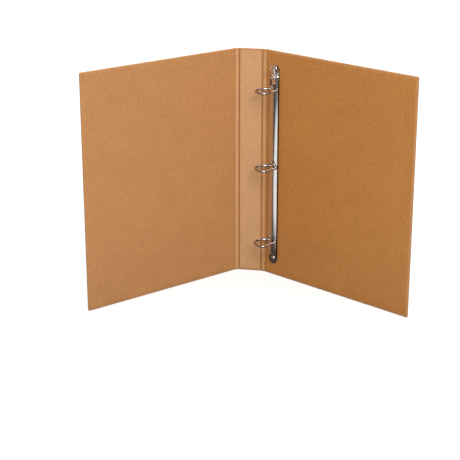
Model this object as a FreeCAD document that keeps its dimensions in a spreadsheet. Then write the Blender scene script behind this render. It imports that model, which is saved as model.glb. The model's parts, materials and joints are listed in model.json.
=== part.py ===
import FreeCAD, Part
import math
import os
import Sketcher

from FreeCAD import Placement, Rotation, Vector

# A ring binder album in a turned-edge case, standing open on its bottom edges.
#
# Album frame, in millimetres: +Z up, X along the spine's width with the front cover on -X and the
# back cover on +X, and the inside facing -Y. The origin is under the middle of the standing album.
#
# Case panels are drawn flat, one each, with x across the panel from its left crease or fore edge,
# y up the album and z through the board towards the inside. z is 0 between the wrap and the board,
# which is the level that the creases fold about.
#
# Ring mechanism pieces are drawn with x across the mechanism towards the fore edge, y up the album
# from its middle and z standing off the back cover's lining.

SIZES = {
    # case
    "half_height": 160.0,
    "cover_width": 246.0,
    "spine_width": 32.6,
    "strip_width": 7.5,
    "board_thickness": 2.0,
    "wrap_thickness": 0.3,
    "lining_thickness": 0.25,
    "half_groove": 1.2,
    "web_end": 0.15,
    "turn_in": 15.0,
    "lining_inset": 3.0,
    "corner_radius": 2.0,
    "front_fold": 49.0,
    "back_fold": 32.0,
    # ring housing
    "housing_offset": 15.2,
    "housing_half_width": 7.4,
    "housing_wall": 2.9,
    "housing_rise": 3.1,
    "sheet": 0.8,
    "lip": 1.6,
    "arch_end": 125.5,
    "tongue_start": 131.5,
    "tongue_rise": 0.2,
    "nose_cavity": 0.3,
    "rivet_reach": 135.5,
    # blades and rings
    "pivot_reach": 6.0,
    "pivot_height": 2.1,
    "blade_outer": 0.3,
    "blade_inner": 5.85,
    "blade_half_thickness": 0.5,
    "blade_end": 115.5,
    "blade_tilt": 7.0,
    "ring_spacing": 108.0,
    "wire_radius": 1.5,
    "root_inset": 1.8,
    "root_length": 0.3,
    "root_bend": 2.0,
    "exit_slope": 20.0,
    "foot_bend": 3.5,
    "post_reach": 10.0,
    "post_bend": 7.0,
    "top_slope": 12.0,
    "joint_reach": 1.0,
    "joint_height": 32.6,
    "joint_gap": 0.1,
    "slot_inner": 2.2,
    "slot_outer": 9.0,
    "slot_half_length": 1.9,
    # opening lever
    "lever_pivot": 122.5,
    "pin_height": 3.2,
    "pin_radius": 0.8,
    "pin_half_length": 7.0,
    "pin_hole": 0.85,
    "lever_barrel": 1.7,
    "lever_half_width": 4.6,
    "lever_half_thickness": 0.55,
    "lever_reach": 22.0,
    "lever_tail": 8.0,
    "tail_rise": 2.25,
    "lever_corner": 4.4,
    "lever_angle": 16.0,
    "lever_slot_half": 5.0,
    "lever_slot_start": 113.5,
    # rivets
    "rivet_shank": 2.1,
    "rivet_hole": 2.15,
    "rivet_head": 4.0,
    "rivet_head_height": 0.9,
    "rivet_flange": 3.3,
    "rivet_flange_height": 0.7,
    "rivet_roll": 1.6,
    "rivet_bore": 1.1,
    "rivet_bore_floor": 1.0,
}

HEIGHT = "half_height half_height"
CASE_FACE = "board_thickness wrap_thickness lining_thickness"

doc = FreeCAD.newDocument("ring_album")
sheet = doc.addObject("Spreadsheet::Sheet", "sizes")
for row, (name, number) in enumerate(SIZES.items(), start=1):
    sheet.set("A%d" % row, name)
    sheet.set("B%d" % row, str(number))
    sheet.setAlias("B%d" % row, name)
doc.recompute()

nodes = {}


# ---- sums of sizes -------------------------------------------------------------------------

def value(terms):
    """Add up the sizes named in terms. A name with a minus in front is taken away."""
    total = 0.0
    for term in terms.split():
        total += -SIZES[term[1:]] if term.startswith("-") else SIZES[term]
    return total


def formula(terms, factor=1):
    """The same sum as an expression on the sheet."""
    parts = ["- sizes." + term[1:] if term.startswith("-") else "+ sizes." + term
             for term in terms.split()]
    return "%d * (0 %s)" % (factor, " ".join(parts))


def opposite(terms):
    """The same sum with its sign changed."""
    return " ".join(term[1:] if term.startswith("-") else "-" + term for term in terms.split())


def bow(half_chord, rise):
    """The radius of an arc from its half chord and rise, and the same as an expression."""
    half, height = value(half_chord), value(rise)
    radius = (half ** 2 + height ** 2) / (2 * height)
    texts = formula(half_chord), formula(rise), formula(rise)
    return radius, "((%s)^2 + (%s)^2) / (2 * (%s))" % texts


# ---- sketches and features -----------------------------------------------------------------

def new_body(name):
    body = doc.addObject("PartDesign::Body", name)
    body.Label = name
    nodes[name] = body
    return body


def new_sketch(body, name, role="XY_Plane", lift="", lift_sign=1):
    """A sketch on one of the body's origin planes, raised along the plane's normal."""
    sketch = body.newObject("Sketcher::SketchObject", name)
    plane = next(item for item in body.Origin.OriginFeatures if item.Role == role)
    sketch.AttachmentSupport = [(plane, "")]
    sketch.MapMode = "FlatFace"
    if lift:
        sketch.setExpression("AttachmentOffset.Base.z", formula(lift, lift_sign))
    return sketch


def bind(sketch, constraint, expression):
    index = sketch.addConstraint(constraint)
    sketch.setExpression("Constraints[%d]" % index, expression)


def hold(sketch, geometry, end, distance, expression, direction):
    """Hold a point at a positive or negative distance from the origin, along X or Y."""
    if distance > 0:
        bind(sketch, Sketcher.Constraint(direction, -1, 1, geometry, end, distance), expression)
    else:
        constraint = Sketcher.Constraint(direction, geometry, end, -1, 1, -distance)
        bind(sketch, constraint, "-(%s)" % expression)


def locate(sketch, geometry, end, x_terms, y_terms):
    """Hold a point at a place given as two sums of sizes."""
    for terms, direction, axis in ((x_terms, "DistanceX", -2), (y_terms, "DistanceY", -1)):
        if terms:
            hold(sketch, geometry, end, value(terms), formula(terms), direction)
        else:
            sketch.addConstraint(Sketcher.Constraint("PointOnObject", geometry, end, axis))


def ends(sketch, geometry, start):
    """Which end of a line or arc lies at start, and which is its other end."""
    first = 1 if sketch.getPoint(geometry, 1).distanceToPoint(start) < 1e-6 else 2
    return first, 3 - first


def outline(sketch, corners, bends=None):
    """Draw a closed anticlockwise outline through corners given as sums of sizes.

    bends maps a side's number to its radius and the radius's expression. Such a side is an arc
    that bulges outwards, or inwards where the radius is negative.
    """
    bends = bends or {}
    points = [Vector(value(x), value(y), 0) for x, y in corners]
    sides = []
    for number, start in enumerate(points):
        end = points[(number + 1) % len(points)]
        if number in bends:
            radius, expression = bends[number]
            chord = end - start
            outward = Vector(chord.y, -chord.x, 0).normalize()
            depth = abs(radius) - math.sqrt(max(radius ** 2 - (chord.Length / 2) ** 2, 0))
            apex = (start + end) / 2 + outward * math.copysign(depth, radius)
            side = sketch.addGeometry(Part.Arc(start, apex, end), False)
            bind(sketch, Sketcher.Constraint("Radius", side, abs(radius)), expression)
        else:
            side = sketch.addGeometry(Part.LineSegment(start, end), False)
        sides.append((side,) + ends(sketch, side, start))
    for number, (side, first, _) in enumerate(sides):
        before, _, last = sides[number - 1]
        sketch.addConstraint(Sketcher.Constraint("Coincident", before, last, side, first))
        locate(sketch, side, first, *corners[number])


def circle(sketch, x_terms, y_terms, radius):
    centre = Vector(value(x_terms), value(y_terms), 0)
    ring = sketch.addGeometry(Part.Circle(centre, Vector(0, 0, 1), value(radius)), False)
    bind(sketch, Sketcher.Constraint("Radius", ring, value(radius)), formula(radius))
    if x_terms or y_terms:
        locate(sketch, ring, 3, x_terms, y_terms)
    else:
        sketch.addConstraint(Sketcher.Constraint("Coincident", ring, 3, -1, 1))


def rectangle(left, right, bottom, top):
    return [(left, bottom), (right, bottom), (right, top), (left, top)]


def pad(body, sketch, length, symmetric=False, backwards=False):
    """Pad by a length, or by that length each way."""
    feature = body.newObject("PartDesign::Pad", sketch.Name + "_pad")
    feature.Profile = sketch
    feature.SideType = "Symmetric" if symmetric else "One side"
    feature.Reversed = backwards
    feature.setExpression("Length", formula(length, 2 if symmetric else 1))
    return feature


def pocket(body, sketch, length, symmetric=False, backwards=False):
    """Cut by a length, or by that length each way, and make sure that material comes off."""
    doc.recompute()
    before = body.Shape.Volume
    feature = body.newObject("PartDesign::Pocket", sketch.Name + "_cut")
    feature.Profile = sketch
    feature.SideType = "Symmetric" if symmetric else "One side"
    feature.Reversed = backwards
    feature.setExpression("Length", formula(length, 2 if symmetric else 1))
    doc.recompute()
    if body.Shape.Volume > before - 1e-3:
        raise RuntimeError("%s takes nothing off %s" % (sketch.Name, body.Name))
    return feature


# ---- case panels ---------------------------------------------------------------------------

def panel_outline(left, right, bottom, top, radius, fore_side):
    """A panel's corners, and the arcs of the two rounded corners on its fore edge."""
    less = opposite(radius)
    arc = (value(radius), formula(radius))
    if fore_side == "right":
        inner_x = "%s %s" % (right, less)
        corners = [(left, bottom), (inner_x, bottom), (right, "%s %s" % (bottom, radius)),
                   (right, "%s %s" % (top, less)), (inner_x, top), (left, top)]
        return corners, {1: arc, 3: arc}
    if fore_side == "left":
        inner_x = "%s %s" % (left, radius)
        corners = [(inner_x, bottom), (right, bottom), (right, top), (inner_x, top),
                   (left, "%s %s" % (top, less)), (left, "%s %s" % (bottom, radius))]
        return corners, {3: arc, 5: arc}
    return rectangle(left, right, bottom, top), {}


def make_board(name, left, right, fore_side):
    board = new_body(name + "_board")
    sketch = new_sketch(board, name + "_board_outline")
    corners, bends = panel_outline(left, right, "wrap_thickness", HEIGHT + " -wrap_thickness",
                                   "corner_radius -wrap_thickness", fore_side)
    outline(sketch, corners, bends)
    pad(board, sketch, "board_thickness")
    return board


def make_wrap(name, width, left, right, fore_side):
    """Paper under the board, up its outer edges and turned in over it.

    Its web runs on across the groove nearly to the crease. left and right are the board's sides.
    """
    wrap = new_body(name + "_wrap")
    web_left = "" if fore_side == "left" else "web_end"
    web_right = width if fore_side == "right" else width + " -web_end"
    sketch = new_sketch(wrap, name + "_wrap_web")
    outline(sketch, *panel_outline(web_left, web_right, "", HEIGHT, "corner_radius", fore_side))
    pad(wrap, sketch, "wrap_thickness", backwards=True)

    rim_left = "" if fore_side == "left" else left
    rim_right = width if fore_side == "right" else right
    sketch = new_sketch(wrap, name + "_wrap_rim")
    outline(sketch, *panel_outline(rim_left, rim_right, "", HEIGHT, "corner_radius", fore_side))
    pad(wrap, sketch, "board_thickness wrap_thickness")

    open_left = left if fore_side == "left" else left + " -wrap_thickness"
    open_right = right if fore_side == "right" else right + " wrap_thickness"
    corners, bends = panel_outline(open_left, open_right, "wrap_thickness",
                                   HEIGHT + " -wrap_thickness", "corner_radius -wrap_thickness",
                                   fore_side)
    sketch = new_sketch(wrap, name + "_board_space")
    outline(sketch, corners, bends)
    pocket(wrap, sketch, "board_thickness", backwards=True)

    turn_left = "turn_in" if fore_side == "left" else open_left
    turn_right = width + " -turn_in" if fore_side == "right" else open_right
    sketch = new_sketch(wrap, name + "_between_turn_ins")
    outline(sketch, rectangle(turn_left, turn_right, "turn_in", HEIGHT + " -turn_in"))
    pocket(wrap, sketch, "board_thickness wrap_thickness", backwards=True)
    return wrap


def make_lining(name, width, left, right, fore_side):
    """Paper glued to the board between the turn-ins, lapping over them all round."""
    lining = new_body(name + "_lining")
    bed_left = "turn_in" if fore_side == "left" else left
    bed_right = width + " -turn_in" if fore_side == "right" else right
    sketch = new_sketch(lining, name + "_lining_bed", lift="board_thickness")
    outline(sketch, rectangle(bed_left, bed_right, "turn_in", HEIGHT + " -turn_in"))
    pad(lining, sketch, "wrap_thickness")

    lap_left = "lining_inset" if fore_side == "left" else left
    lap_right = width + " -lining_inset" if fore_side == "right" else right
    sketch = new_sketch(lining, name + "_lining_lap", lift="board_thickness wrap_thickness")
    outline(sketch, rectangle(lap_left, lap_right, "lining_inset", HEIGHT + " -lining_inset"))
    pad(lining, sketch, "lining_thickness")
    return lining


def make_panel(name, width, fore_side=""):
    """Board, wrap and lining of a panel. fore_side is empty for a panel between two creases."""
    left = "wrap_thickness" if fore_side == "left" else "half_groove"
    right = width + (" -wrap_thickness" if fore_side == "right" else " -half_groove")
    board = make_board(name, left, right, fore_side)
    wrap = make_wrap(name, width, left, right, fore_side)
    lining = make_lining(name, width, left, right, fore_side)
    return [board, wrap, lining]


def drill_for_rivets(body):
    """Two holes through a piece of the back cover."""
    sketch = new_sketch(body, body.Name + "_rivet_holes")
    circle(sketch, "housing_offset", "half_height rivet_reach", "rivet_hole")
    circle(sketch, "housing_offset", "half_height -rivet_reach", "rivet_hole")
    pocket(body, sketch, CASE_FACE, symmetric=True)


# ---- ring housing --------------------------------------------------------------------------

def arch_section(sketch, wall, rise):
    """A closed arch on a flat bottom: two short walls under a bowed top."""
    half = "housing_half_width"
    corners = [("-" + half, ""), (half, ""), (half, wall), ("-" + half, wall)]
    outline(sketch, corners, {2: bow(half, rise)})


def cavity_section(sketch, wall, rise):
    """The space under the arch at one place along it."""
    half = "housing_half_width -sheet"
    corners = [(opposite(half), ""), (half, ""), (half, wall), (opposite(half), wall)]
    outline(sketch, corners, {2: bow(half, rise)})


def make_nose(body, end, sign):
    """Flatten the arch into a rounded tongue at one end. sign is 1 at the head, -1 at the tail."""
    # The plane of these sections faces -Y, so a lift there is turned round.
    for kind, section, far_wall, far_rise in (
            ("Additive", arch_section, "sheet -tongue_rise", "tongue_rise"),
            ("Subtractive", cavity_section, "tongue_rise", "nose_cavity")):
        wall = "housing_wall"
        rise = "housing_rise" if kind == "Additive" else "housing_rise -sheet"
        near = new_sketch(body, "%s_%s_near" % (end, kind), "XZ_Plane", "arch_end", -sign)
        section(near, wall, rise)
        far = new_sketch(body, "%s_%s_far" % (end, kind), "XZ_Plane", "tongue_start", -sign)
        section(far, far_wall, far_rise)
        loft = body.newObject("PartDesign::%sLoft" % kind, "%s_%s_nose" % (end, kind))
        loft.Profile = near
        loft.Sections = [far]
        loft.Ruled = True
        doc.recompute()
    sketch = new_sketch(body, end + "_tongue")
    half, near, far = "housing_half_width", "tongue_start", "rivet_reach"
    if sign < 0:
        near, far = "-rivet_reach", "-tongue_start"
    outline(sketch, rectangle("-" + half, half, near, far))
    pad(body, sketch, "sheet")
    sketch = new_sketch(body, end + "_tongue_round")
    circle(sketch, "", far if sign > 0 else near, half)
    pad(body, sketch, "sheet")


def make_housing():
    body = new_body("ring_housing")
    half, wall = "housing_half_width", "housing_wall"
    inner = half + " -sheet"
    lip = half + " -lip"
    sketch = new_sketch(body, "housing_section", "XZ_Plane")
    corners = [(half, ""), (half, wall), ("-" + half, wall), ("-" + half, ""),
               (opposite(lip), ""), (opposite(lip), "sheet"), (opposite(inner), "sheet"),
               (opposite(inner), wall), (inner, wall), (inner, "sheet"), (lip, "sheet"), (lip, "")]
    inner_radius, inner_formula = bow(inner, "housing_rise -sheet")
    outline(sketch, corners, {1: bow(half, "housing_rise"), 7: (-inner_radius, inner_formula)})
    pad(body, sketch, "arch_end", symmetric=True)
    make_nose(body, "head", 1)
    make_nose(body, "tail", -1)

    sketch = new_sketch(body, "housing_rivet_holes")
    circle(sketch, "", "rivet_reach", "rivet_hole")
    circle(sketch, "", "-rivet_reach", "rivet_hole")
    pocket(body, sketch, "sheet", backwards=True)

    # Each ring half comes out through a slot in the shoulder of the arch.
    sketch = new_sketch(body, "ring_slots", lift=wall)
    for place in ("ring_spacing ", "", "-ring_spacing "):
        bottom, top = place + "-slot_half_length", place + "slot_half_length"
        outline(sketch, rectangle("slot_inner", "slot_outer", bottom, top))
        outline(sketch, rectangle("-slot_outer", "-slot_inner", bottom, top))
    pocket(body, sketch, "housing_rise sheet", backwards=True)

    # The lever works in a slot through the arch and its nose, and turns on a pin across it.
    sketch = new_sketch(body, "lever_slot", lift="sheet")
    side = "lever_slot_half"
    outline(sketch, rectangle("-" + side, side, "lever_slot_start", "tongue_start tongue_rise"))
    pocket(body, sketch, "housing_wall housing_rise", backwards=True)
    sketch = new_sketch(body, "lever_pin_holes", "YZ_Plane")
    circle(sketch, "lever_pivot", "pin_height", "pin_hole")
    pocket(body, sketch, half, symmetric=True)
    return body


# ---- blades, rings, lever and rivets --------------------------------------------------------

def make_blade(name, side):
    """A strip hinged in the housing's lip. It is drawn flat with its hinge line on the Y axis."""
    body = new_body(name)
    outer, inner = "blade_outer", "blade_inner"
    left, right = ("-" + outer, inner) if side < 0 else ("-" + inner, outer)
    sketch = new_sketch(body, name + "_outline")
    outline(sketch, rectangle(left, right, "-blade_end", "blade_end"))
    pad(body, sketch, "blade_half_thickness", symmetric=True)
    tilt = Rotation(Vector(0, 1, 0), -side * SIZES["blade_tilt"])
    return body, Placement(Vector(side * SIZES["pivot_reach"], 0, SIZES["pivot_height"]), tilt)


class WirePath:
    """A path of straight runs and tangent bends in a sketch, drawn from a point and a heading."""

    def __init__(self, sketch, start, heading):
        self.sketch = sketch
        self.point = start
        self.heading = heading
        self.last = None

    def direction(self):
        angle = math.radians(self.heading)
        return Vector(math.cos(angle), math.sin(angle), 0)

    def add(self, geometry, end):
        index = self.sketch.addGeometry(geometry, False)
        first, final = ends(self.sketch, index, self.point)
        if self.last:
            self.sketch.addConstraint(Sketcher.Constraint("Tangent", *self.last, index, first))
        self.last = (index, final)
        self.point = end
        return index, first, final

    def run(self, length):
        end = self.point + self.direction() * length
        return self.add(Part.LineSegment(self.point, end), end)

    def bend(self, radius, turn):
        """Turn left by a positive angle, or right by a negative one.

        radius is the name of a size, or the number that the rest of the path comes to.
        """
        radius_name = radius if isinstance(radius, str) else ""
        radius = SIZES[radius] if radius_name else radius
        side = math.copysign(1, turn)
        ahead = self.direction()
        centre = self.point + Vector(-ahead.y, ahead.x, 0) * side * radius
        spoke = self.point - centre

        def swung(angle):
            return centre + Rotation(Vector(0, 0, 1), angle).multVec(spoke)

        end = swung(turn)
        index = self.add(Part.Arc(self.point, swung(turn / 2), end), end)[0]
        if radius_name:
            bind(self.sketch, Sketcher.Constraint("Radius", index, radius), "sizes." + radius_name)
        self.heading += turn

    def set_angle(self, line, first, final, expression):
        """Hold the heading of a straight run."""
        start, end = self.sketch.getPoint(line, first), self.sketch.getPoint(line, final)
        angle = math.atan2(end.y - start.y, end.x - start.x)
        bind(self.sketch, Sketcher.Constraint("Angle", -1, 1, line, first, angle), expression)


def ring_root(side):
    """Where a ring half stands on its blade's upper face, as numbers and as expressions."""
    tilt = math.radians(SIZES["blade_tilt"])
    inset, lift = SIZES["root_inset"], SIZES["blade_half_thickness"]
    x = SIZES["pivot_reach"] - inset * math.cos(tilt) - lift * math.sin(tilt)
    z = SIZES["pivot_height"] - inset * math.sin(tilt) + lift * math.cos(tilt)
    tilt_text = "(sizes.blade_tilt * 1 deg)"
    x_text = "sizes.pivot_reach - sizes.root_inset * cos%s - sizes.blade_half_thickness * sin%s"
    z_text = "sizes.pivot_height - sizes.root_inset * sin%s + sizes.blade_half_thickness * cos%s"
    x_text = x_text % (tilt_text, tilt_text)
    return Vector(side * x, z, 0), "%d * (%s)" % (side, x_text), z_text % (tilt_text, tilt_text)


def start_ring(body, side):
    """The path's short root, square to the blade, and its bend out through the housing's slot."""
    sketch = new_sketch(body, body.Name + "_path", "XZ_Plane")
    start, x_text, z_text = ring_root(side)
    tilt = SIZES["blade_tilt"]
    path = WirePath(sketch, start, 90 + side * tilt)
    root, first, final = path.run(SIZES["root_length"])
    hold(sketch, root, first, start.x, x_text, "DistanceX")
    hold(sketch, root, first, start.y, z_text, "DistanceY")
    bind(sketch, Sketcher.Constraint("Distance", root, SIZES["root_length"]), "sizes.root_length")
    path.set_angle(root, first, final, "90 deg + %d * sizes.blade_tilt * 1 deg" % side)
    exit_heading = SIZES["exit_slope"] if side > 0 else 180 - SIZES["exit_slope"]
    path.bend("root_bend", exit_heading - path.heading)
    return path


def finish_ring(body, path, gap, expression):
    """The last straight run up to the joint, and the round wire swept along the whole path."""
    top = math.radians(SIZES["top_slope"])
    end_x = SIZES["joint_reach"] + gap
    end_y = SIZES["joint_height"] + gap * math.tan(top)
    gap_text = "sizes.joint_gap" if gap else "0"
    run, first, final = path.run(abs(end_x - path.point.x) / math.cos(top))
    path.set_angle(run, first, final, expression)
    hold(path.sketch, run, final, end_x, "sizes.joint_reach + " + gap_text, "DistanceX")
    hold(path.sketch, run, final, end_y,
         "sizes.joint_height + %s * tan(sizes.top_slope * 1 deg)" % gap_text, "DistanceY")
    doc.recompute()
    profile = body.newObject("Sketcher::SketchObject", body.Name + "_wire")
    profile.AttachmentSupport = [(path.sketch, "Edge1")]
    profile.MapMode = "NormalToEdge"
    profile.MapPathParameter = 0.0
    circle(profile, "", "", "wire_radius")
    doc.recompute()
    pipe = body.newObject("PartDesign::AdditivePipe", body.Name + "_pipe")
    pipe.Profile = profile
    pipe.Spine = path.sketch
    pipe.Mode = "Frenet"
    doc.recompute()


def make_ring_post(name):
    """The fore-side half: a straight post with a rounded shoulder."""
    body = new_body(name)
    path = start_ring(body, 1)
    slope = math.radians(SIZES["exit_slope"])
    reach = SIZES["post_reach"] - SIZES["foot_bend"] * (1 - math.sin(slope))
    exit_run, first, final = path.run((reach - path.point.x) / math.cos(slope))
    path.set_angle(exit_run, first, final, "sizes.exit_slope * 1 deg")
    path.bend("foot_bend", 90 - SIZES["exit_slope"])
    turn = 90 + SIZES["top_slope"]
    rise = (SIZES["post_reach"] - SIZES["joint_reach"]) * math.tan(math.radians(SIZES["top_slope"]))
    corner = SIZES["joint_height"] + rise
    post_top = corner - SIZES["post_bend"] * math.tan(math.radians(turn / 2))
    post, first, final = path.run(post_top - path.point.y)
    hold(path.sketch, post, first, SIZES["post_reach"], "sizes.post_reach", "DistanceX")
    path.set_angle(post, first, final, "90 deg")
    path.bend("post_bend", turn)
    finish_ring(body, path, SIZES["joint_gap"], "180 deg + sizes.top_slope * 1 deg")
    return body


def make_ring_arc(name):
    """The spine-side half: one large bend up and over, of the radius that brings it to the joint."""
    body = new_body(name)
    path = start_ring(body, -1)
    top, start = math.radians(SIZES["top_slope"]), math.radians(path.heading)
    across = SIZES["joint_reach"] - path.point.x
    up = SIZES["joint_height"] - path.point.y
    side = Vector(math.sin(start) - math.sin(top), math.cos(top) - math.cos(start), 0)
    radius = ((up * math.cos(top) - across * math.sin(top))
              / (side.y * math.cos(top) - side.x * math.sin(top)))
    path.bend(radius, SIZES["top_slope"] - path.heading)
    finish_ring(body, path, 0, "sizes.top_slope * 1 deg")
    return body


def make_lever():
    """A stamped lever, drawn level with its pivot at the origin and its tab along +Y."""
    body = new_body("opening_lever")
    thick, reach, tail = "lever_half_thickness", "lever_reach", "lever_tail"
    sketch = new_sketch(body, "lever_side", "YZ_Plane")
    corners = [("-" + tail, "tail_rise -" + thick), ("", "-" + thick), (reach, "-" + thick),
               (reach, thick), ("", thick), ("-" + tail, "tail_rise " + thick)]
    outline(sketch, corners)
    pad(body, sketch, "lever_half_width", symmetric=True)
    sketch = new_sketch(body, "lever_barrel_end", "YZ_Plane")
    circle(sketch, "", "", "lever_barrel")
    pad(body, sketch, "lever_half_width", symmetric=True)
    sketch = new_sketch(body, "lever_pin_hole", "YZ_Plane")
    circle(sketch, "", "", "pin_hole")
    pocket(body, sketch, "lever_half_width", symmetric=True)

    tip = body.Tip
    tip_edges = ["Edge%d" % number for number, edge in enumerate(tip.Shape.Edges, start=1)
                 if all(abs(v.Y - SIZES["lever_reach"]) < 1e-6 for v in edge.Vertexes)
                 and abs(edge.Vertexes[0].X - edge.Vertexes[-1].X) < 1e-6]
    rounding = body.newObject("PartDesign::Fillet", "lever_tip_rounding")
    rounding.Base = (tip, tip_edges)
    rounding.setExpression("Radius", "sizes.lever_corner")
    return body


def make_pin():
    body = new_body("lever_pin")
    sketch = new_sketch(body, "pin_section", "YZ_Plane")
    circle(sketch, "lever_pivot", "pin_height", "pin_radius")
    pad(body, sketch, "pin_half_length", symmetric=True)
    return body


def make_rivet(name):
    """A tubular rivet, turned about Z with z=0 on the case's outside and its roll inside."""
    body = new_body(name)
    grip = "wrap_thickness " + CASE_FACE + " sheet"
    top = grip + " rivet_flange_height"
    corners = [("", "-rivet_head_height"), ("rivet_head", ""), ("rivet_shank", ""),
               ("rivet_shank", grip), ("rivet_flange", grip), ("rivet_bore", top),
               ("rivet_bore", "rivet_bore_floor"), ("", "rivet_bore_floor")]
    sketch = new_sketch(body, name + "_section", "XZ_Plane")
    roll = (SIZES["rivet_roll"], "sizes.rivet_roll")
    outline(sketch, corners, {0: bow("rivet_head", "rivet_head_height"), 4: roll})
    turned = body.newObject("PartDesign::Revolution", name + "_turned")
    turned.Profile = sketch
    turned.ReferenceAxis = (sketch, ["V_Axis"])
    turned.Angle = 360
    return body


# ---- places in the album -------------------------------------------------------------------

def heading(angle):
    """The way that a panel runs from left to right, turned from the spine's."""
    return Rotation(Vector(0, 0, 1), angle)


def case_frames():
    """Each panel's placement, worked outwards from the spine's two creases."""
    spine, strip, cover = SIZES["spine_width"], SIZES["strip_width"], SIZES["cover_width"]
    front, back = SIZES["front_fold"], -SIZES["back_fold"]
    upright = Rotation(Vector(1, 0, 0), 90)
    along = Vector(1, 0, 0)
    left = Vector(-spine / 2, 0, 0)
    right = Vector(spine / 2, 0, 0)
    front_strip = left - heading(front / 2).multVec(along * strip)
    front_edge = front_strip - heading(front).multVec(along * cover)
    back_crease = right + heading(back / 2).multVec(along * strip)
    return {
        "front_cover": Placement(front_edge, heading(front) * upright),
        "front_hinge": Placement(front_strip, heading(front / 2) * upright),
        "spine": Placement(left, upright),
        "rear_hinge": Placement(right, heading(back / 2) * upright),
        "back_cover": Placement(back_crease, heading(back) * upright),
    }


frames = case_frames()
for panel, width, fore_side in (("front_cover", "cover_width", "left"),
                                ("front_hinge", "strip_width", ""),
                                ("spine", "spine_width", ""),
                                ("rear_hinge", "strip_width", ""),
                                ("back_cover", "cover_width", "right")):
    for piece in make_panel(panel, width, fore_side):
        piece.Placement = frames[panel]
        if panel == "back_cover":
            drill_for_rivets(piece)

back_cover = frames["back_cover"]
mechanism_place = Vector(SIZES["housing_offset"], SIZES["half_height"], value(CASE_FACE))
mechanism = back_cover * Placement(mechanism_place, Rotation())

for piece in (make_housing(), make_pin()):
    piece.Placement = mechanism
for name, side in (("spine_side_blade", -1), ("fore_side_blade", 1)):
    blade, place = make_blade(name, side)
    blade.Placement = mechanism * place
for name, level in (("head", 1), ("middle", 0), ("tail", -1)):
    ring_place = mechanism * Placement(Vector(0, level * SIZES["ring_spacing"], 0), Rotation())
    make_ring_arc(name + "_ring_arc").Placement = ring_place
    make_ring_post(name + "_ring_post").Placement = ring_place

lever_place = Vector(0, SIZES["lever_pivot"], SIZES["pin_height"])
lever_turn = Rotation(Vector(1, 0, 0), SIZES["lever_angle"])
make_lever().Placement = mechanism * Placement(lever_place, lever_turn)

for name, level in (("head_rivet", 1), ("tail_rivet", -1)):
    rivet_place = Vector(SIZES["housing_offset"],
                         SIZES["half_height"] + level * SIZES["rivet_reach"],
                         -SIZES["wrap_thickness"])
    make_rivet(name).Placement = back_cover * Placement(rivet_place, Rotation())

# ---- checks and files ----------------------------------------------------------------------

doc.recompute()
for item in doc.Objects:
    if "Invalid" in item.State or "Error" in item.State:
        raise RuntimeError("%s did not build: %s" % (item.Name, item.State))
for name, body in nodes.items():
    if body.Shape.isNull() or not body.Shape.isValid() or len(body.Shape.Solids) != 1:
        raise RuntimeError("%s is not one valid solid" % name)

# The whole album is moved so that its box stands centred on the origin.
box = Part.makeCompound([body.Shape for body in nodes.values()]).BoundBox
to_origin = Placement(Vector(-box.Center.x, -box.Center.y, -box.ZMin), Rotation())
for body in nodes.values():
    body.Placement = to_origin * body.Placement
doc.recompute()

os.makedirs("parts", exist_ok=True)
for name, body in nodes.items():
    body.Shape.exportStep("parts/%s.step" % name)
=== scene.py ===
"""A kraft ring binder album standing open on a white floor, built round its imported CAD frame.

The papers of the case are remade here, with rolled edges, pressed creases and linings that dip
past their turn-ins. So is the opening lever, with a crowned and curled thumb tab. The boards and
the rest of the metal stay CAD nodes, with their own materials.
"""

import json
import math

import bmesh
import bpy
import numpy as np
from mathutils import Matrix, Vector


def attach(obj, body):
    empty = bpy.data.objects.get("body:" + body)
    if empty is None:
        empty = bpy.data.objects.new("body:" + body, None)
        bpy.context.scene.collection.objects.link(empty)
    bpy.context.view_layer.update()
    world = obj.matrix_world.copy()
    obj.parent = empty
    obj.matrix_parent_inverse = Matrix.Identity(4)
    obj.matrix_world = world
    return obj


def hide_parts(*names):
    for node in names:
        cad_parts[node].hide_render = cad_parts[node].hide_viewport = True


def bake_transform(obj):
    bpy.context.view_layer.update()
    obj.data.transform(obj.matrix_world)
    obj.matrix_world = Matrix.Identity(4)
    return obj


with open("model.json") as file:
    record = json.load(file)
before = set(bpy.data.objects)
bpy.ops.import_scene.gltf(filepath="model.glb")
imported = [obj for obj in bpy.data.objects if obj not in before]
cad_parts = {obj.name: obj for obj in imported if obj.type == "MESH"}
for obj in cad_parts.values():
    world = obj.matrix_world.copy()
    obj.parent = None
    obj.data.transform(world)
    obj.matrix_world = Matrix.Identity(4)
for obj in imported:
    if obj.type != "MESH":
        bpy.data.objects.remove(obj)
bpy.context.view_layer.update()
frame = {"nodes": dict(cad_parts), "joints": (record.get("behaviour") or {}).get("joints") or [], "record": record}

MM = 0.001

# Papers and boards of the case, in millimetres. A level is a height above a board's outer face.
BOARD = 2.0
WRAP = 0.3
LINING = 0.25
INSIDE = BOARD + WRAP
FACE = INSIDE + LINING
TURN_IN = 15.0
CORNER = 2.0
SHARPEST_CORNER = 0.01
EDGE_ROUND = 0.9
LINING_INSET = 3.0
LINING_CHAMFER = 0.08
DIP = 0.14
DIP_HALF_LENGTH = 1.5

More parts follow.
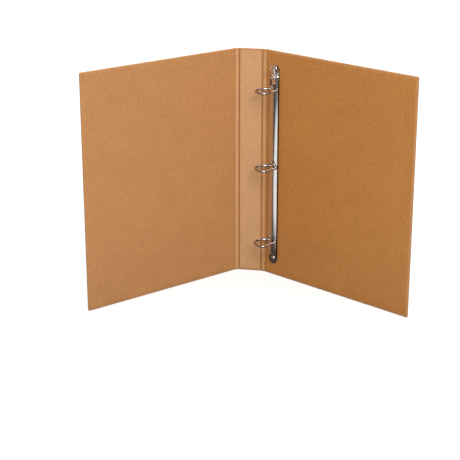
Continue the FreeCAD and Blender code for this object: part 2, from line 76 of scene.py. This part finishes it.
# Crease papers, in millimetres. Each inside groove has its bottom's level and its half width.
GROOVES = {
    "front_cover_crease": (1.75, 1.9),
    "front_spine_crease": (0.7, 1.35),
    "rear_spine_crease": (0.6, 1.9),
    "back_cover_crease": (0.6, 1.6),
}
HALF_GROOVE = 1.2  # half the gap between two wraps, and of the groove outside
OUTER_GROOVE = 0.35  # the depth of the groove outside
CREASE_LAP = 2.0  # how far the paper reaches from the crease over each panel
LAP_GAP = 0.01  # how far the lap's underside lies below the wraps' inside level
CREASE_PROUD = 0.03  # how far the paper stands off the wraps where nothing lines it
LINING_START = 0.6  # where the lining begins to add its thickness, from the crease
LINING_RISE = 0.8  # and the length over which it does
ROUNDED_SHARE = 0.35  # the most that a rounded end takes off each face, of the thickness
INNER_POINTS = 25
OUTER_POINTS = 13
END_POINTS = 6
END_ZONE = 4.0  # the stretch past a lining's end that needs no stations
LENGTH_POINTS = 12

SMOOTH_ANGLE = math.radians(40)
ARC_STEPS = 6

JOINTS = {joint["name"]: joint for joint in frame["joints"]}


# ---- the case's layout, read from the frame ------------------------------------------------

def crease_point(joint):
    """Where a crease stands on the floor, in millimetres."""
    x, y, _ = JOINTS[joint]["pos_m"]
    return Vector((x, y, 0.0)) / MM


def panel_matrix(origin, across):
    """Panel axes: x across, y up the album and z through the board towards the inside."""
    across = across.normalized()
    up = Vector((0, 0, 1))
    inwards = Vector((across.y, -across.x, 0))
    if inwards.y > 0:
        inwards.negate()
    axes = Matrix((across, up, inwards)).transposed().to_4x4()
    return Matrix.Scale(MM, 4) @ Matrix.Translation(origin) @ axes


def reach(node, matrix, axis):
    """How far a node goes along one axis of a panel."""
    inverse = matrix.inverted()
    return max((inverse @ vertex.co)[axis] for vertex in frame["nodes"][node].data.vertices)


front_cover_crease = crease_point("front_cover_crease")
front_spine_crease = crease_point("front_spine_crease")
rear_spine_crease = crease_point("rear_spine_crease")
back_cover_crease = crease_point("back_cover_crease")

spine_across = rear_spine_crease - front_spine_crease
front_strip_across = front_spine_crease - front_cover_crease
rear_strip_across = back_cover_crease - rear_spine_crease
front_turn = front_strip_across.xy.angle_signed(spine_across.xy)
rear_turn = spine_across.xy.angle_signed(rear_strip_across.xy)


def turned(direction, angle):
    """A direction turned about the upright axis."""
    return Matrix.Rotation(angle, 4, "Z") @ direction


# The covers are measured from their creases out to their fore edges.
PANELS = {
    "front_cover": panel_matrix(front_cover_crease, -turned(front_strip_across, front_turn)),
    "front_hinge": panel_matrix(front_cover_crease, front_strip_across),
    "spine": panel_matrix(front_spine_crease, spine_across),
    "rear_hinge": panel_matrix(rear_spine_crease, rear_strip_across),
    "back_cover": panel_matrix(back_cover_crease, turned(rear_strip_across, -rear_turn)),
}
HEIGHT = reach("spine_wrap", PANELS["spine"], 1)
COVER_WIDTH = reach("back_cover_wrap", PANELS["back_cover"], 0)
HINGE_WIDTH = front_strip_across.length
SPINE_WIDTH = spine_across.length


# ---- mesh making ---------------------------------------------------------------------------

def solid(name, vertices, faces, matrix):
    """A closed mesh, placed by a matrix that turns its millimetres into the frame's metres."""
    mesh = bpy.data.meshes.new(name)
    mesh.from_pydata([matrix @ Vector(v) for v in vertices], [], faces)
    work = bmesh.new()
    work.from_mesh(mesh)
    bmesh.ops.recalc_face_normals(work, faces=work.faces)
    work.to_mesh(mesh)
    work.free()
    mesh.shade_smooth()
    mesh.set_sharp_from_angle(angle=SMOOTH_ANGLE)
    piece = bpy.data.objects.new(name, mesh)
    bpy.context.scene.collection.objects.link(piece)
    return piece


def smoothstep(t):
    """A soft rise from 0 to 1 as t goes from 0 to 1."""
    t = min(max(t, 0.0), 1.0)
    return t * t * (3 - 2 * t)


def roll(centre, radius, start, end):
    """Points of an arc in a section, from a start angle to an end angle in degrees."""
    angles = np.radians(np.linspace(start, end, ARC_STEPS + 1))
    return [(centre[0] + radius * math.cos(a), centre[1] + radius * math.sin(a)) for a in angles]


def edge_path(inset, start, width):
    """A U round a cover at one inset: along the head, down the fore edge, back along the tail."""
    radius = max(CORNER - inset, SHARPEST_CORNER)
    head = roll((width - inset - radius, HEIGHT - inset - radius), radius, 90, 0)
    tail = [(x, HEIGHT - y) for x, y in reversed(head)]
    return [(start, HEIGHT - inset)] + head + tail + [(start, inset)]


def lofted_u(name, section, start, width, matrix):
    """A sheet with a section of (inset, z) points carried round a cover's three outer edges.

    The section begins and ends at the sheet's flat middle, which is filled on both sides.
    """
    vertices, faces = [], []
    rows = [[(x, y, z) for x, y in edge_path(inset, start, width)] for inset, z in section]
    across = len(rows[0])
    for row in rows:
        vertices += row
    for j in range(len(rows) - 1):
        for i in range(across - 1):
            a = j * across + i
            faces.append((a, a + 1, a + across + 1, a + across))
    last = (len(rows) - 1) * across
    faces.append(tuple(range(across)))
    faces.append(tuple(range(last, last + across)))
    near = [j * across for j in range(len(rows))]
    far = [j * across + across - 1 for j in range(len(rows))]
    faces.append(tuple(near + far[::-1]))
    return solid(name, vertices, faces, matrix)


def skin(name, rings, matrix):
    """A closed mesh over rings of equally many points, with a flat cap at each end."""
    count = len(rings[0])
    faces = []
    for row in range(len(rings) - 1):
        for i in range(count):
            a, b = row * count + i, row * count + (i + 1) % count
            faces.append((a, b, b + count, a + count))
    last = (len(rings) - 1) * count
    faces += [tuple(range(count)), tuple(range(last, last + count))]
    return solid(name, [point for ring in rings for point in ring], faces, matrix)


def prism(name, section, start, end, matrix):
    """A closed section of (y, z) points run straight across a panel."""
    return skin(name, [[(x, y, z) for y, z in section] for x in (start, end)], matrix)


# ---- papers of the case --------------------------------------------------------------------

def rolled_edge():
    """The wrap's section from its web, round the board's edge, to the end of its turn-in."""
    low, high = -WRAP + EDGE_ROUND, INSIDE - EDGE_ROUND
    return ([(TURN_IN, -WRAP)]
            + roll((EDGE_ROUND, low), EDGE_ROUND, 270, 180)
            + roll((EDGE_ROUND, high), EDGE_ROUND, 180, 90)
            + [(TURN_IN - WRAP, INSIDE), (TURN_IN, BOARD), (WRAP, BOARD), (WRAP, 0), (TURN_IN, 0)])


def lining_edge():
    """The lining's section from its glued face, round its cut edge, to its dip past the turn-in."""
    dip = [(TURN_IN + DIP_HALF_LENGTH * (2 * t - 1), FACE - DIP * smoothstep(t))
           for t in np.linspace(0, 1, ARC_STEPS + 1)]
    return [(TURN_IN, BOARD), (TURN_IN, INSIDE), (LINING_INSET, INSIDE),
            (LINING_INSET, FACE - LINING_CHAMFER), (LINING_INSET + LINING_CHAMFER, FACE)] + dip


def across_panel(edge):
    """A section for both the tail and the head of a panel that lies between two creases."""
    return edge + [(HEIGHT - inset, z) for inset, z in reversed(edge)]


def make_cover_papers(name):
    """A cover's wrap and lining, carried round its three outer edges."""
    matrix = PANELS[name]
    paper = lofted_u(name + "_paper", rolled_edge(), HALF_GROOVE, COVER_WIDTH, matrix)
    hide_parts(name + "_wrap")
    lining = lofted_u(name + "_liner", lining_edge(), CREASE_LAP, COVER_WIDTH, matrix)
    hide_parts(name + "_lining")
    return paper, lining


def make_strip_papers(name, width):
    """The wrap and lining of the spine or of a hinge strip, with edges at the head and tail."""
    matrix = PANELS[name]
    edges = (HALF_GROOVE, width - HALF_GROOVE)
    paper = prism(name + "_paper", across_panel(rolled_edge()), *edges, matrix)
    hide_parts(name + "_wrap")
    edges = (CREASE_LAP, width - CREASE_LAP)
    lining = prism(name + "_liner", across_panel(lining_edge()), *edges, matrix)
    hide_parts(name + "_lining")
    return paper, lining


def crease_surfaces(u, groove):
    """Outside and inside levels of the pressed papers at a distance u from the crease."""
    floor, half_width = groove
    outside = -WRAP + OUTER_GROOVE * (1 - smoothstep(abs(u) / HALF_GROOVE))
    inside = floor + (INSIDE - floor) * smoothstep(abs(u) / half_width)
    return outside, inside


def crease_stations():
    """Places up the crease: close together at the rolled ends and at the lining's ends."""
    lower = [EDGE_ROUND * (1 - math.cos(a)) for a in np.linspace(0, math.pi / 2, END_POINTS)]
    lower += [LINING_INSET, LINING_INSET + LINING_CHAMFER]
    lower += list(np.linspace(LINING_INSET + END_ZONE, HEIGHT / 2, LENGTH_POINTS))
    return lower + [HEIGHT - y for y in reversed(lower[:-1])]


def crease_section(y, groove):
    """The crease paper's closed section of (u, z) points at one station, before it is bent."""
    from_end = min(y, HEIGHT - y)
    into_round = max(EDGE_ROUND - from_end, 0)
    rounding = EDGE_ROUND - math.sqrt(max(EDGE_ROUND ** 2 - into_round ** 2, 0))
    lined = smoothstep((from_end - LINING_INSET) / LINING_CHAMFER)
    lap = INSIDE - rounding - LAP_GAP
    section = []
    for u in np.linspace(-CREASE_LAP, CREASE_LAP, INNER_POINTS):
        outside, inside = crease_surfaces(u, groove)
        shrink = min(rounding, ROUNDED_SHARE * (inside - outside))
        lift = LINING * lined * smoothstep((abs(u) - LINING_START) / LINING_RISE)
        section.append((u, inside - shrink + lift + CREASE_PROUD * (1 - lined)))
    section += [(CREASE_LAP, lap), (HALF_GROOVE, lap)]
    for u in np.linspace(HALF_GROOVE, -HALF_GROOVE, OUTER_POINTS):
        outside, inside = crease_surfaces(u, groove)
        section.append((u, outside + min(rounding, ROUNDED_SHARE * (inside - outside))))
    return section + [(-HALF_GROOVE, lap), (-CREASE_LAP, lap)]


def bent(u, y, z, turn):
    """A point of a flat crease paper, moved as the paper bends across its groove."""
    angle = turn * smoothstep((u + HALF_GROOVE) / (2 * HALF_GROOVE))
    return (u * math.cos(angle) - z * math.sin(angle), y, z * math.cos(angle) + u * math.sin(angle))


def make_crease(joint, across, turn):
    """The wrap and lining pressed together between two boards, bent round the crease.

    across is the left panel's direction, and turn is the fold at rest.
    """
    matrix = panel_matrix(crease_point(joint), across)
    rings = [[bent(u, y, z, turn) for u, z in crease_section(y, GROOVES[joint])]
             for y in crease_stations()]
    piece = skin(joint + "_paper", rings, matrix)
    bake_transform(piece)
    return piece


# ---- opening lever -------------------------------------------------------------------------

# A stamped lever, in millimetres from its pivot, with y along the tab and z off the plate
LEVER_TILT = 16.0
LEVER_HALF_WIDTH = 4.6
LEVER_HALF_THICKNESS = 0.55
LEVER_EDGE_POWER = 10
LEVER_TAIL = 8.0
LEVER_TAIL_RISE = 2.25
LEVER_TAIL_TAPER = 0.4
LEVER_TAIL_SHARE = 0.5
LEVER_CURL_START = 14.5
LEVER_CURL_RADIUS = 7.5
LEVER_CURL = 58.0
LEVER_TIP_FULLNESS = 0.99
LEVER_CROWN = 0.9
LEVER_CROWN_START = 3.0
LEVER_CROWN_RISE = 6.0
LEVER_BARREL = 1.7
LEVER_BARREL_SETBACK = 0.05
LEVER_BORE = 0.85
LEVER_BORE_OVERRUN = 1.0


def lever_line():
    """Points (y, z, lean) down the middle of the lever, from its tail to its curled tip."""
    line = [(y, -LEVER_TAIL_RISE * y / LEVER_TAIL, 0.0)
            for y in np.linspace(-LEVER_TAIL, 0, 9)]
    line += [(y, 0.0, 0.0) for y in np.linspace(1, LEVER_CURL_START, 10)]
    for a in np.radians(np.linspace(4, LEVER_CURL, 18)):
        line.append((LEVER_CURL_START + LEVER_CURL_RADIUS * math.sin(a),
                     LEVER_CURL_RADIUS * (1 - math.cos(a)), a))
    return line


def make_rod(radius, half_length, matrix):
    """A closed cylinder along x, to shape the lever with."""
    ring = [(radius * math.cos(a), radius * math.sin(a))
            for a in np.radians(np.arange(0, 360, 10))]
    return prism("rod", ring, -half_length, half_length, matrix)


def make_lever():
    """A lever with a thumb tab that is crowned across and curls away from the plate."""
    line = lever_line()
    steps = [math.dist(a[:2], b[:2]) for a, b in zip(line, line[1:])]
    to_tip = [sum(steps[i:]) for i in range(len(line))]
    across = np.sin(np.radians(np.linspace(-90, 90, 17)))
    rings = []
    for (y, z, lean), left in zip(line, to_tip):
        round_off = max(1 - left / LEVER_HALF_WIDTH, 0.0)
        half = LEVER_HALF_WIDTH * math.sqrt(1 - (LEVER_TIP_FULLNESS * round_off) ** 2)
        tail_end = min((y + LEVER_TAIL) / LEVER_TAIL_TAPER + LEVER_TAIL_SHARE, 1.0)
        crown = LEVER_CROWN * smoothstep((y - LEVER_CROWN_START) / LEVER_CROWN_RISE)
        top, bottom = [], []
        for share in across:
            x = half * share
            bow = crown * (1 - (x / LEVER_HALF_WIDTH) ** 2)
            thick = LEVER_HALF_THICKNESS * tail_end * (1 - abs(share) ** LEVER_EDGE_POWER)
            for side, row in ((1, top), (-1, bottom)):
                off = bow + side * thick
                row.append((x, y - off * math.sin(lean), z + off * math.cos(lean)))
        rings.append(top + bottom[-2:0:-1])
    pivot = Vector(JOINTS["lever_press"]["pos_m"])
    axes = PANELS["back_cover"].to_3x3().to_4x4()
    matrix = Matrix.Translation(pivot) @ axes @ Matrix.Rotation(math.radians(LEVER_TILT), 4, "X")
    lever = skin("opening_lever_tab", rings, matrix)
    barrel_half = LEVER_HALF_WIDTH - LEVER_BARREL_SETBACK
    bore_half = LEVER_HALF_WIDTH + LEVER_BORE_OVERRUN
    for radius, half, operation in ((LEVER_BARREL, barrel_half, "UNION"),
                                    (LEVER_BORE, bore_half, "DIFFERENCE")):
        tool = make_rod(radius, half, matrix)
        step = lever.modifiers.new("step", "BOOLEAN")
        step.operation = operation
        step.object = tool
        shaped = lever.evaluated_get(bpy.context.evaluated_depsgraph_get())
        shape = bpy.data.meshes.new_from_object(shaped)
        lever.modifiers.clear()
        lever.data = shape
        bpy.data.objects.remove(tool)
    lever.data.set_sharp_from_angle(angle=SMOOTH_ANGLE)
    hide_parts("opening_lever")
    return lever


# ---- materials -----------------------------------------------------------------------------

KRAFT_ROUGHNESS = 0.50
ROUGHNESS_SWING = 0.07
PALE_FIBRE = 1.35
NICKEL_CLOUD = 0.90
PLATE_COLOUR = (0.76, 0.73, 0.72)
# The plate's side walls are painted near black: a painted reflection of the shaded lining beside the plate.
PLATE_WALL_PAINTED_SHADE = (0.075, 0.05, 0.045)


class Material:
    """A small builder for one node material with a Principled shader."""

    def __init__(self, name, colour, roughness, metallic=0.0):
        self.material = bpy.data.materials.new(name)
        self.material.use_nodes = True
        self.tree = self.material.node_tree
        self.shader = self.tree.nodes["Principled BSDF"]
        self.shader.inputs["Base Color"].default_value = (*colour, 1)
        self.shader.inputs["Roughness"].default_value = roughness
        self.shader.inputs["Metallic"].default_value = metallic
        self.place = self.tree.nodes.new("ShaderNodeTexCoord").outputs["Object"]

    def node(self, kind, **inputs):
        """A new node, with some of its inputs set or linked by name."""
        node = self.tree.nodes.new(kind)
        for name, entry in inputs.items():
            self.feed(node.inputs[name.replace("_", " ")], entry)
        return node

    def feed(self, socket, entry):
        """Link an output to a socket, or set the socket to a value."""
        if isinstance(entry, bpy.types.NodeSocket):
            self.tree.links.new(entry, socket)
        else:
            socket.default_value = entry

    def stretched(self, x, y, z, turn=(0, 0, 0)):
        """Object coordinates scaled along each axis, after a turn."""
        mapping = self.node("ShaderNodeMapping", Vector=self.place, Scale=(x, y, z), Rotation=turn)
        return mapping.outputs["Vector"]

    def noise(self, vector, scale, detail=2.0, roughness=0.5, distortion=0.0):
        node = self.node("ShaderNodeTexNoise", Vector=vector, Scale=scale, Detail=detail,
                         Roughness=roughness, Distortion=distortion)
        return node.outputs["Fac"]

    def ramp(self, value, low, high, to_low=0.0, to_high=1.0):
        """A value's range from low to high made to run from to_low to to_high, and held past it."""
        node = self.node("ShaderNodeMapRange", Value=value)
        for index, entry in enumerate((low, high, to_low, to_high), start=1):
            node.inputs[index].default_value = entry
        return node.outputs["Result"]

    def mix(self, factor, first, second):
        """A colour that goes from the first to the second as a factor goes from 0 to 1."""
        node = self.tree.nodes.new("ShaderNodeMix")
        node.data_type = "RGBA"
        colours = [socket for socket in node.inputs if socket.type == "RGBA"]
        self.feed(node.inputs[0], factor)
        for socket, entry in zip(colours, (first, second)):
            self.feed(socket, entry if isinstance(entry, bpy.types.NodeSocket) else (*entry, 1))
        return next(socket for socket in node.outputs if socket.type == "RGBA")

    def total(self, *pairs):
        """The sum of values, each times its weight."""
        result = None
        for value, weight in pairs:
            term = self.node("ShaderNodeMath")
            term.operation = "MULTIPLY_ADD"
            self.feed(term.inputs[0], value)
            term.inputs[1].default_value = weight
            self.feed(term.inputs[2], result if result is not None else 0.0)
            result = term.outputs[0]
        return result

    def value_step(self, operation, first, second):
        """One step of arithmetic on two values."""
        node = self.node("ShaderNodeMath")
        node.operation = operation
        self.feed(node.inputs[0], first)
        self.feed(node.inputs[1], second)
        return node.outputs[0]

    def vector_step(self, operation, first, second=(0, 0, 0), result="Vector"):
        """One step of arithmetic on two vectors."""
        node = self.tree.nodes.new("ShaderNodeVectorMath")
        node.operation = operation
        self.feed(node.inputs[0], first)
        self.feed(node.inputs[1], second)
        return node.outputs[result]

    def bump(self, height, distance, strength=1.0):
        node = self.node("ShaderNodeBump", Height=height, Distance=distance, Strength=strength)
        self.tree.links.new(node.outputs["Normal"], self.shader.inputs["Normal"])


def kraft(name, light, dark, fleck):
    """Uncoated kraft: mottled pulp, short fibres laid every way, soft clouds, and a dry surface."""
    paper = Material(name, light, KRAFT_ROUGHNESS)
    cloud = paper.noise(paper.place, scale=30, detail=3, roughness=0.55)
    mottle = paper.noise(paper.place, scale=420, detail=3, roughness=0.6)
    grain = paper.noise(paper.place, scale=1100, detail=3, roughness=0.65)
    fibres = []
    for number, turn in enumerate((0.35, 1.35, -0.8)):
        vector = paper.stretched(1, 1, 0.26, (0.25 * number, turn, 0.2 * number))
        fibres.append(paper.noise(vector, scale=1900, detail=2, roughness=0.55, distortion=0.8))
    threads = paper.total((fibres[0], 0.34), (fibres[1], 0.33), (fibres[2], 0.33))
    tone = paper.total((cloud, 0.08), (mottle, 0.32), (grain, 0.30), (threads, 0.30))
    colour = paper.mix(paper.ramp(tone, 0.42, 0.58), dark, light)
    specks = paper.noise(paper.stretched(1, 1, 0.35, (0.4, 0.9, 0.0)),
                         scale=620, detail=1, roughness=0.4, distortion=0.8)
    colour = paper.mix(paper.ramp(specks, 0.70, 0.78, 0.0, 0.55), colour, fleck)
    bright = paper.noise(paper.stretched(1, 0.3, 1, (0.0, 0.5, 0.9)),
                         scale=700, detail=1, roughness=0.4, distortion=0.8)
    pale = tuple(min(1.0, channel * PALE_FIBRE) for channel in light)
    colour = paper.mix(paper.ramp(bright, 0.70, 0.80, 0.0, 0.5), colour, pale)
    paper.feed(paper.shader.inputs["Base Color"], colour)
    dryness = paper.ramp(paper.total((mottle, 0.5), (threads, 0.5)), 0.3, 0.7,
                         KRAFT_ROUGHNESS - ROUGHNESS_SWING, KRAFT_ROUGHNESS + ROUGHNESS_SWING)
    paper.feed(paper.shader.inputs["Roughness"], dryness)
    paper.shader.inputs["Specular IOR Level"].default_value = 0.5
    height = paper.total((threads, 0.45), (grain, 0.30), (mottle, 0.25))
    paper.bump(height, distance=0.00022, strength=0.9)
    return paper.material


def greyboard():
    """Pressed recycled board: grey pulp with dark and pale flecks."""
    board = Material("greyboard", (0.36, 0.34, 0.31), 0.9)
    pulp = board.noise(board.place, scale=420, detail=4, roughness=0.65)
    flecks = board.noise(board.stretched(1, 1, 0.4),
                         scale=900, detail=1, roughness=0.4, distortion=0.8)
    colour = board.mix(board.ramp(pulp, 0.35, 0.65), (0.27, 0.255, 0.23), (0.42, 0.40, 0.37))
    colour = board.mix(board.ramp(flecks, 0.68, 0.76, 0.0, 0.6), colour, (0.10, 0.09, 0.08))
    board.feed(board.shader.inputs["Base Color"], colour)
    board.feed(board.shader.inputs["Roughness"], board.ramp(pulp, 0.3, 0.7, 0.84, 0.96))
    board.bump(pulp, distance=0.0002)
    return board.material


def nickel(name, colour, roughness, wave=0.0, side=None):
    """Bright nickel plate: faint clouds in its polish, fine wiping marks and a slow ripple.

    Where side is given, faces that look along it are the plate's rolled walls, given a near-black colour: painted
    shade, a painted reflection of the shaded gap between the plate and the lining.
    """
    metal = Material(name, colour, roughness, metallic=1.0)
    cloud = metal.noise(metal.place, scale=160, detail=3)
    marks = metal.noise(metal.stretched(1, 1, 0.03), scale=2600)
    clouded = tuple(NICKEL_CLOUD * channel for channel in colour)
    tone = metal.mix(metal.ramp(cloud, 0.35, 0.65), clouded, colour)
    if side is not None:
        normal = metal.tree.nodes.new("ShaderNodeNewGeometry").outputs["Normal"]
        facing = metal.vector_step("DOT_PRODUCT", normal, side, "Value")
        across = metal.node("ShaderNodeMath", Value=facing)
        across.operation = "ABSOLUTE"
        tone = metal.mix(metal.ramp(across.outputs[0], 0.80, 0.95), tone, PLATE_WALL_PAINTED_SHADE)
    metal.feed(metal.shader.inputs["Base Color"], tone)
    polish = metal.ramp(metal.total((cloud, 0.6), (marks, 0.4)), 0.3, 0.7,
                        roughness * 0.6, roughness * 1.5)
    metal.feed(metal.shader.inputs["Roughness"], polish)
    ripple = metal.noise(metal.stretched(1, 1, 0.25), scale=70, detail=1, roughness=0.4)
    metal.bump(metal.total((marks, 0.02), (ripple, wave)), distance=0.0004, strength=0.6)
    return metal.material


def blade_steel():
    """Plated spring steel, brushed along its length."""
    steel = Material("blade_steel", (0.56, 0.56, 0.57), 0.32, metallic=1.0)
    brush = steel.noise(steel.stretched(1, 1, 0.015), scale=2200, detail=3, roughness=0.6)
    tone = steel.mix(steel.ramp(brush, 0.35, 0.65), (0.48, 0.48, 0.49), (0.62, 0.62, 0.63))
    steel.feed(steel.shader.inputs["Base Color"], tone)
    steel.feed(steel.shader.inputs["Roughness"], steel.ramp(brush, 0.3, 0.7, 0.24, 0.42))
    steel.bump(brush, distance=0.00005)
    return steel.material


def dress(piece, material):
    """Give a piece one material in place of what it has."""
    piece.data.materials.clear()
    piece.data.materials.append(material)


# ---- the album -----------------------------------------------------------------------------

cover_kraft = kraft("cover_kraft", light=(0.570, 0.278, 0.104), dark=(0.430, 0.194, 0.066),
                    fleck=(0.24, 0.10, 0.035))
lining_kraft = kraft("lining_kraft", light=(0.572, 0.278, 0.102), dark=(0.432, 0.194, 0.066),
                     fleck=(0.23, 0.10, 0.035))
# The lining of the spine and the hinge strips is a paler, lighter copy of the lining paper: painted sheen and
# light, standing in for the white floor's reflection on these faces.
spine_kraft_painted_sheen = kraft("spine_lining_painted_sheen", light=(0.630, 0.352, 0.166), dark=(0.500, 0.262, 0.114),
                    fleck=(0.27, 0.12, 0.045))
# The back cover's lining is a darker, more saturated copy of the lining paper: painted shade, with the warm bounce
# light between the covers painted in.
back_kraft_painted_shade = kraft("back_lining_painted_shade", light=(0.550, 0.242, 0.062), dark=(0.408, 0.162, 0.036),
                   fleck=(0.22, 0.09, 0.03))

for panel, width, lining in (("front_cover", None, lining_kraft), ("back_cover", None, back_kraft_painted_shade),
                             ("front_hinge", HINGE_WIDTH, spine_kraft_painted_sheen),
                             ("spine", SPINE_WIDTH, spine_kraft_painted_sheen),
                             ("rear_hinge", HINGE_WIDTH, spine_kraft_painted_sheen)):
    papers = make_strip_papers(panel, width) if width else make_cover_papers(panel)
    for piece, material, slot in zip(papers, (cover_kraft, lining),
                                     ("cover_kraft", "lining_kraft")):
        dress(piece, material)
        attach(piece, panel)

for joint, left_panel, across, turn in (
        ("front_cover_crease", "front_cover", turned(front_strip_across, front_turn), front_turn),
        ("front_spine_crease", "front_hinge", front_strip_across, front_turn),
        ("rear_spine_crease", "spine", spine_across, rear_turn),
        ("back_cover_crease", "rear_hinge", rear_strip_across, rear_turn)):
    crease = make_crease(joint, across, turn)
    dress(crease, lining_kraft)

plate_side = turned(rear_strip_across, -rear_turn).normalized()
CAD_MATERIALS = {
    "greyboard": greyboard(),
    "nickel_plate": nickel("nickel_plate", PLATE_COLOUR, 0.10, wave=0.25, side=tuple(plate_side)),
    "nickel_wire": nickel("nickel_wire", (0.44, 0.42, 0.42), 0.10),
    "blade_steel": blade_steel(),
    "rivet_metal": nickel("rivet_metal", (0.72, 0.71, 0.72), 0.16, wave=0.05),
}
lever = make_lever()
dress(lever, nickel("lever_plate", PLATE_COLOUR, 0.09, wave=0.1))
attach(lever, "opening_lever")
for entry in frame["record"]["subparts"]:
    if entry["material_slot"] in CAD_MATERIALS:
        dress(frame["nodes"][entry["node"]], CAD_MATERIALS[entry["material_slot"]])

# ---- floor, light and camera ---------------------------------------------------------------

# The floor, in metres. It looks white to the camera. Reflections see a dark floor instead, a painted dark
# reflection, with a soft glowing pool of painted brightness in front of the album and a painted gleam behind it.
FLOOR_HALF = 6.0
FLOOR_LEVEL = -0.0003
FLOOR_GREY = (0.30, 0.30, 0.30)
FLOOR_IN_REFLECTIONS = (0.04, 0.035, 0.03)
FLOOR_ROUGHNESS = 0.9
FLOOR_GLOW = 0.70
POOL_GLEAM = 0.95
POOL_CENTRE = (0.10, -0.50, 0)
POOL_RADII = (0.42, 0.45, 1)
POOL_EDGE = (0.75, 1.05)
BACK_GLEAM = 0.75
BACK_GLEAM_EDGE = (0.15, 0.45)

# The camera's place in metres, the way it looks, and its sensor and lens in millimetres
CAMERA_PLACE = (0.2741, -1.6285, 0.6764)
CAMERA_VIEW = (-0.1759, 0.9266, -0.3325)
SENSOR = 36
LENS = 102.6
FARTHEST = 20

# Brightness of the room in reflections, and where on the unit sphere it brightens
ROOM_LIGHT = 0.05
CEILING_LIGHT = 1.0
CEILING_EDGE = (0.25, 0.8)
BACK_LIGHT = 0.5
BACK_EDGE = (0.1, 0.7)
BACKDROP_LIGHT = 1.0


def make_floor():
    mesh = bpy.data.meshes.new("floor")
    corners = [(x * FLOOR_HALF, y * FLOOR_HALF, FLOOR_LEVEL)
               for x, y in ((-1, -1), (1, -1), (1, 1), (-1, 1))]
    mesh.from_pydata(corners, [], [(0, 1, 2, 3)])
    floor = bpy.data.objects.new("floor", mesh)
    bpy.context.scene.collection.objects.link(floor)
    paint = Material("floor_paint", FLOOR_GREY, FLOOR_ROUGHNESS)
    rays = paint.tree.nodes.new("ShaderNodeLightPath").outputs
    offset = paint.vector_step("SUBTRACT", paint.place, POOL_CENTRE)
    scaled = paint.vector_step("DIVIDE", offset, POOL_RADII)
    away = paint.vector_step("LENGTH", scaled, result="Value")
    pool = paint.ramp(away, *POOL_EDGE, POOL_GLEAM, 0)
    along = paint.node("ShaderNodeSeparateXYZ", Vector=paint.place).outputs["Y"]
    behind = paint.ramp(along, *BACK_GLEAM_EDGE, 0, BACK_GLEAM)
    either = paint.value_step("MAXIMUM", pool, behind)
    gleam = paint.value_step("MULTIPLY", either, rays["Is Glossy Ray"])
    glow = paint.total((rays["Is Camera Ray"], FLOOR_GLOW), (gleam, 1.0))
    shade = paint.mix(rays["Is Glossy Ray"], FLOOR_GREY, FLOOR_IN_REFLECTIONS)
    paint.feed(paint.shader.inputs["Base Color"], shade)
    paint.shader.inputs["Emission Color"].default_value = (1, 1, 1, 1)
    paint.feed(paint.shader.inputs["Emission Strength"], glow)
    dress(floor, paint.material)


def make_light(name, place, target, side, power):
    """A square softbox with its side in metres and its power in watts."""
    data = bpy.data.lights.new(name, "AREA")
    data.shape = "RECTANGLE"
    data.size = side
    data.size_y = side
    data.energy = power
    light = bpy.data.objects.new(name, data)
    light.location = place
    light.rotation_euler = (Vector(target) - Vector(place)).to_track_quat("-Z", "Y").to_euler()
    bpy.context.scene.collection.objects.link(light)


def make_camera():
    data = bpy.data.cameras.new("camera")
    data.sensor_width = SENSOR
    data.lens = LENS
    data.clip_end = FARTHEST
    camera = bpy.data.objects.new("camera", data)
    camera.location = CAMERA_PLACE
    camera.rotation_euler = Vector(CAMERA_VIEW).to_track_quat("-Z", "Y").to_euler()
    bpy.context.scene.collection.objects.link(camera)
    bpy.context.scene.camera = camera


def make_studio():
    """A white backdrop where it is looked at; round it, a dim room under a bright ceiling."""
    world = bpy.data.worlds.new("studio")
    bpy.context.scene.world = world
    world.use_nodes = True
    tree = world.node_tree
    rays = tree.nodes.new("ShaderNodeLightPath").outputs
    direction = tree.nodes.new("ShaderNodeSeparateXYZ")
    generated = tree.nodes.new("ShaderNodeTexCoord").outputs["Generated"]
    tree.links.new(generated, direction.inputs[0])
    room = tree.nodes.new("ShaderNodeMath")
    room.operation = "MAXIMUM"
    for socket, axis, edge, light in ((room.inputs[0], "Z", CEILING_EDGE, CEILING_LIGHT),
                                      (room.inputs[1], "Y", BACK_EDGE, BACK_LIGHT)):
        rise = tree.nodes.new("ShaderNodeMapRange")
        tree.links.new(direction.outputs[axis], rise.inputs["Value"])
        for index, entry in enumerate((*edge, ROOM_LIGHT, light), start=1):
            rise.inputs[index].default_value = entry
        tree.links.new(rise.outputs["Result"], socket)
    strength = tree.nodes.new("ShaderNodeMix")
    tree.links.new(rays["Is Camera Ray"], strength.inputs[0])
    tree.links.new(room.outputs[0], strength.inputs[2])
    strength.inputs[3].default_value = BACKDROP_LIGHT
    background = tree.nodes["Background"]
    background.inputs["Color"].default_value = (1, 1, 1, 1)
    tree.links.new(strength.outputs[0], background.inputs["Strength"])


make_floor()
make_light("key", place=(0.45, -1.45, 1.35), target=(0, 0, 0.2), side=0.9, power=34)
make_light("back_fill", place=(0.3, 1.9, 1.3), target=(0, 0.1, 0.15), side=1.2, power=30)
make_camera()
make_studio()
bpy.context.scene.view_settings.view_transform = "Standard"
